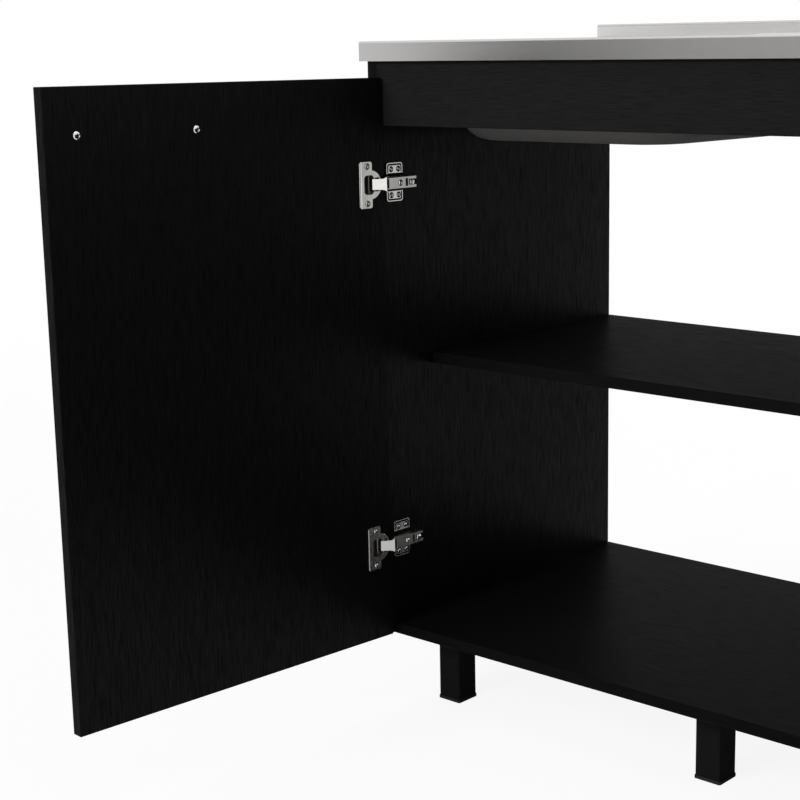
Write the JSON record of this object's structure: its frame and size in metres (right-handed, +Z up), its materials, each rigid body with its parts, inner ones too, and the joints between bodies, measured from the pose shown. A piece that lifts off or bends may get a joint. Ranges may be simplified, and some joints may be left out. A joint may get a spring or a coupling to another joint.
{
  "type": "kitchen base cabinet",
  "caption": "Dark wood-grain kitchen base cabinet on square legs, with a pressed steel sink top, doors on cup hinges, an inner shelf and an open back.",
  "frame": {"origin": "on the floor, in the middle of the bounding box with the doors open", "axes": "+X to the right as seen from the front, +Y from the front to the back, +Z up"},
  "size_m": [1.0976, 1.0036, 0.912],
  "materials": {
    "board": "satin",
    "sink_steel": "brushed",
    "plated_steel": "polished",
    "leg": "satin",
    "foot": "matte",
    "handle": "satin"
  },
  "bodies": {
    "carcass": {"bottom_panel": "board", "foot_front_left": "foot", "foot_front_middle": "foot", "foot_front_right": "foot", "foot_rear_left": "foot", "foot_rear_middle": "foot", "foot_rear_right": "foot", "front_top_rail": "board", "hinge_arm_left_lower": "plated_steel", "hinge_arm_left_upper": "plated_steel", "hinge_arm_pin_left_lower": "plated_steel", "hinge_arm_pin_left_upper": "plated_steel", "hinge_arm_pin_right_lower": "plated_steel", "hinge_arm_pin_right_upper": "plated_steel", "hinge_arm_right_lower": "plated_steel", "hinge_arm_right_upper": "plated_steel", "hinge_clamp_screw_left_lower": "plated_steel", "hinge_clamp_screw_left_upper": "plated_steel", "hinge_clamp_screw_right_lower": "plated_steel", "hinge_clamp_screw_right_upper": "plated_steel", "hinge_plate_left_lower": "plated_steel", "hinge_plate_left_upper": "plated_steel", "hinge_plate_right_lower": "plated_steel", "hinge_plate_right_upper": "plated_steel", "left_side_panel": "board", "leg_front_left": "leg", "leg_front_middle": "leg", "leg_front_right": "leg", "leg_rear_left": "leg", "leg_rear_middle": "leg", "leg_rear_right": "leg", "rear_top_rail": "board", "right_side_panel": "board", "shelf": "board", "shelf_pin_left_front": "plated_steel", "shelf_pin_left_rear": "plated_steel", "shelf_pin_right_front": "plated_steel", "shelf_pin_right_rear": "plated_steel", "sink_top": "sink_steel"},
    "left_links": {"hinge_link_left_lower": "plated_steel", "hinge_link_left_upper": "plated_steel"},
    "left_door": {"hinge_cup_left_lower": "plated_steel", "hinge_cup_left_upper": "plated_steel", "hinge_cup_pin_left_lower": "plated_steel", "hinge_cup_pin_left_upper": "plated_steel", "left_door": "board", "left_handle": "handle", "left_handle_screw_inner": "plated_steel", "left_handle_screw_outer": "plated_steel"},
    "right_links": {"hinge_link_right_lower": "plated_steel", "hinge_link_right_upper": "plated_steel"},
    "right_door": {"hinge_cup_pin_right_lower": "plated_steel", "hinge_cup_pin_right_upper": "plated_steel", "hinge_cup_right_lower": "plated_steel", "hinge_cup_right_upper": "plated_steel", "right_door": "board", "right_handle": "handle", "right_handle_screw_inner": "plated_steel", "right_handle_screw_outer": "plated_steel"}
  },
  "joints": [
    {"name": "left_link_turn", "type": "hinge", "parent": "carcass", "child": "left_links", "pos_m": [-0.462, -0.01141, 0], "axis": [0, 0, 1], "range_deg": [-56.87, 0]},
    {"name": "left_door_turn", "type": "hinge", "parent": "left_links", "child": "left_door", "pos_m": [-0.46799, -0.0266, 0], "axis": [0, 0, 1], "range_deg": [-0.23, 151.5]},
    {"name": "right_link_turn", "type": "hinge", "parent": "carcass", "child": "right_links", "pos_m": [0.462, -0.01141, 0], "axis": [0, 0, 1], "range_deg": [0, 56.87]},
    {"name": "right_door_turn", "type": "hinge", "parent": "right_links", "child": "right_door", "pos_m": [0.46799, -0.0266, 0], "axis": [0, 0, 1], "range_deg": [-151.5, 0.23]}
  ],
  "couplings": [
    {"joint": "left_door_turn", "follows": "left_link_turn", "ratio": -2.6599},
    {"joint": "right_door_turn", "follows": "right_link_turn", "ratio": -2.6599}
  ]
}
